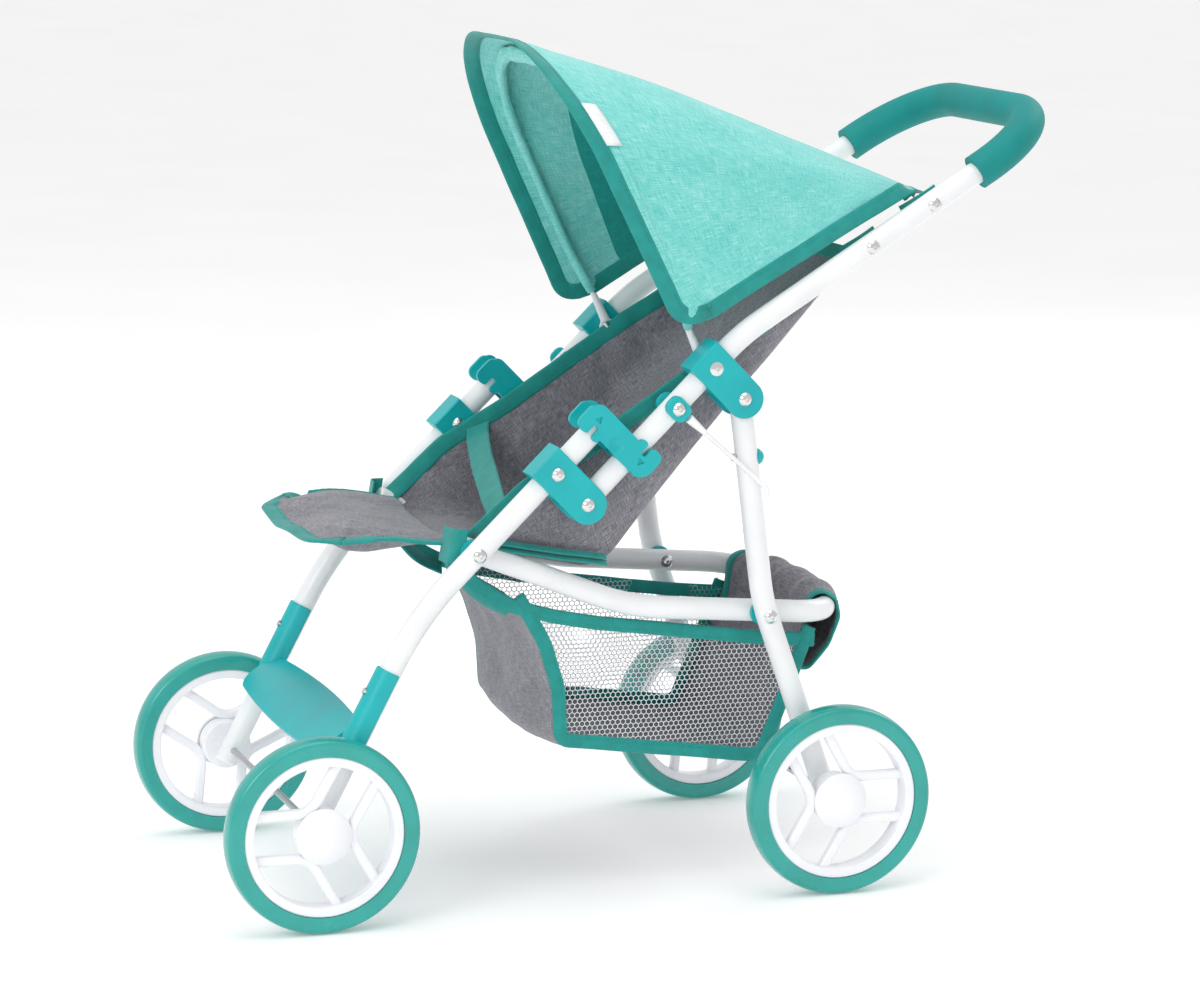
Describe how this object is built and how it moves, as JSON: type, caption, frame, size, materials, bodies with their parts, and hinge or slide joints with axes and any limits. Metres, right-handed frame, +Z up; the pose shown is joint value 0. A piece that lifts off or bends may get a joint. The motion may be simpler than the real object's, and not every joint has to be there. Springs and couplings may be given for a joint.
{
  "type": "doll stroller",
  "caption": "Folding toy doll stroller with a slung fabric seat, folding hood, under-seat basket, footrest bar, foam push bar and spoked wheels.",
  "frame": {"origin": "on the floor under the middle of the outer box", "axes": "+Z up, faces -Y (the push bar is towards +Y), its left side is +X"},
  "size_m": [0.3182, 0.638, 0.6149],
  "materials": {
    "frame_tube": "satin white powder coat",
    "teal_plastic": "smooth moulded teal, satin gloss",
    "white_plastic": "smooth moulded white",
    "teal_foam": "matte closed-cell teal foam",
    "tyre": "glossy moulded teal",
    "wheel_plastic": "smooth white moulding",
    "nickel": "bright nickel plate",
    "steel": "drawn steel rod",
    "white_wire": "white coated spring wire",
    "mint_cloth": "mint chambray weave",
    "grey_cloth": "grey melange weave",
    "teal_binding": "teal woven tape",
    "white_plug": "white moulded plug",
    "white_net": "white warp-knit net and tag"
  },
  "bodies": {
    "front_frame": {"front_leg_left": "frame_tube", "front_leg_right": "frame_tube", "front_leg_plugs": "white_plug", "lower_hinge_plate_left": "teal_plastic", "lower_hinge_plate_right": "teal_plastic", "front_frame_rivets": "nickel", "front_leg_spacers": "teal_plastic", "footrest": "teal_plastic", "footrest_screws": "nickel", "front_axle": "steel", "front_axle_bushes": "white_plastic", "seat_base": "grey_cloth", "leg_flap": "grey_cloth", "lap_strap": "teal_binding"},
    "handle_frame": {"handle_tube": "frame_tube", "handle_grip": "teal_foam", "handle_tube_plugs": "white_plug", "upper_hinge_plate_left": "teal_plastic", "upper_hinge_plate_right": "teal_plastic", "handle_frame_rivets": "nickel", "stay_screws": "nickel", "stay_boss_plates": "teal_plastic", "seat_back": "grey_cloth"},
    "rear_frame": {"rear_leg_left": "frame_tube", "rear_leg_right": "frame_tube", "rear_leg_plugs": "white_plug", "rear_leg_rivets": "nickel", "rear_leg_spacers": "teal_plastic", "catch_knobs": "teal_plastic", "catch_screws": "nickel", "rear_axle": "steel", "rear_axle_bushes": "white_plastic"},
    "basket_frame": {"basket_tube": "frame_tube", "basket_tube_plugs": "white_plug", "basket_tube_rivets": "nickel", "basket_bag": "grey_cloth", "basket_cuff": "grey_cloth"},
    "lock_left": {"lock_clip_left": "teal_plastic"},
    "lock_right": {"lock_clip_right": "teal_plastic"},
    "hood_bow": {"hood_bow": "white_wire", "hood_bow_ends": "white_plastic", "hood": "mint_cloth"},
    "stay_left": {"stay_cap_left": "teal_plastic", "stay_wire_left": "white_wire", "stay_sleeve_left": "white_plastic"},
    "stay_right": {"stay_cap_right": "teal_plastic", "stay_wire_right": "white_wire", "stay_sleeve_right": "white_plastic"},
    "wheel_front_left": {"front_left_tyre": "tyre", "front_left_wheel": "wheel_plastic", "front_left_hub_cap": "wheel_plastic"},
    "wheel_front_right": {"front_right_tyre": "tyre", "front_right_wheel": "wheel_plastic", "front_right_hub_cap": "wheel_plastic"},
    "wheel_rear_left": {"rear_left_tyre": "tyre", "rear_left_wheel": "wheel_plastic", "rear_left_hub_cap": "wheel_plastic"},
    "wheel_rear_right": {"rear_right_tyre": "tyre", "rear_right_wheel": "wheel_plastic", "rear_right_hub_cap": "wheel_plastic"}
  },
  "joints": [
    {"name": "frame_fold", "type": "hinge", "parent": "front_frame", "child": "handle_frame", "pos_m": [0, -0.052, 0.2925], "axis": [-1, 0, 0], "range_deg": [0, 120], "deforming": ["seat_base", "seat_back", "lap_strap", "leg_flap"]},
    {"name": "rear_leg_fold", "type": "hinge", "parent": "handle_frame", "child": "rear_frame", "pos_m": [0, 0.06513, 0.36437], "axis": [1, 0, 0], "range_deg": [0, 75]},
    {"name": "basket_fold", "type": "hinge", "parent": "front_frame", "child": "basket_frame", "pos_m": [0, -0.1308, 0.2589], "axis": [-1, 0, 0], "range_deg": [0, 85], "deforming": ["basket_bag", "basket_cuff"]},
    {"name": "lock_slide_left", "type": "slide", "parent": "handle_frame", "child": "lock_left", "axis": [0, 0.7071, 0.7071], "range_m": [0, 0.018]},
    {"name": "lock_slide_right", "type": "slide", "parent": "handle_frame", "child": "lock_right", "axis": [0, 0.7071, 0.7071], "range_m": [0, 0.018]},
    {"name": "hood_fold", "type": "hinge", "parent": "handle_frame", "child": "hood_bow", "pos_m": [0, 0.0425, 0.387], "axis": [-1, 0, 0], "range_deg": [0, 50], "deforming": ["hood"]},
    {"name": "stay_swing_left", "type": "hinge", "parent": "handle_frame", "child": "stay_left", "pos_m": [0.12, 0.01447, 0.35897], "axis": [1, 0, 0], "range_deg": [0, 22]},
    {"name": "stay_swing_right", "type": "hinge", "parent": "handle_frame", "child": "stay_right", "pos_m": [-0.12, 0.01447, 0.35897], "axis": [1, 0, 0], "range_deg": [0, 22]},
    {"name": "wheel_front_left_spin", "type": "hinge", "parent": "front_frame", "child": "wheel_front_left", "pos_m": [0.145, -0.249, 0.07], "axis": [1, 0, 0], "continuous": true},
    {"name": "wheel_front_right_spin", "type": "hinge", "parent": "front_frame", "child": "wheel_front_right", "pos_m": [-0.145, -0.249, 0.07], "axis": [1, 0, 0], "continuous": true},
    {"name": "wheel_rear_left_spin", "type": "hinge", "parent": "rear_frame", "child": "wheel_rear_left", "pos_m": [0.145, 0.139, 0.07], "axis": [1, 0, 0], "continuous": true},
    {"name": "wheel_rear_right_spin", "type": "hinge", "parent": "rear_frame", "child": "wheel_rear_right", "pos_m": [-0.145, 0.139, 0.07], "axis": [1, 0, 0], "continuous": true}
  ],
  "couplings": [
    {"joint": "rear_leg_fold", "follows": "frame_fold", "ratio": 0.585},
    {"joint": "basket_fold", "follows": "frame_fold", "ratio": 0.684}
  ]
}
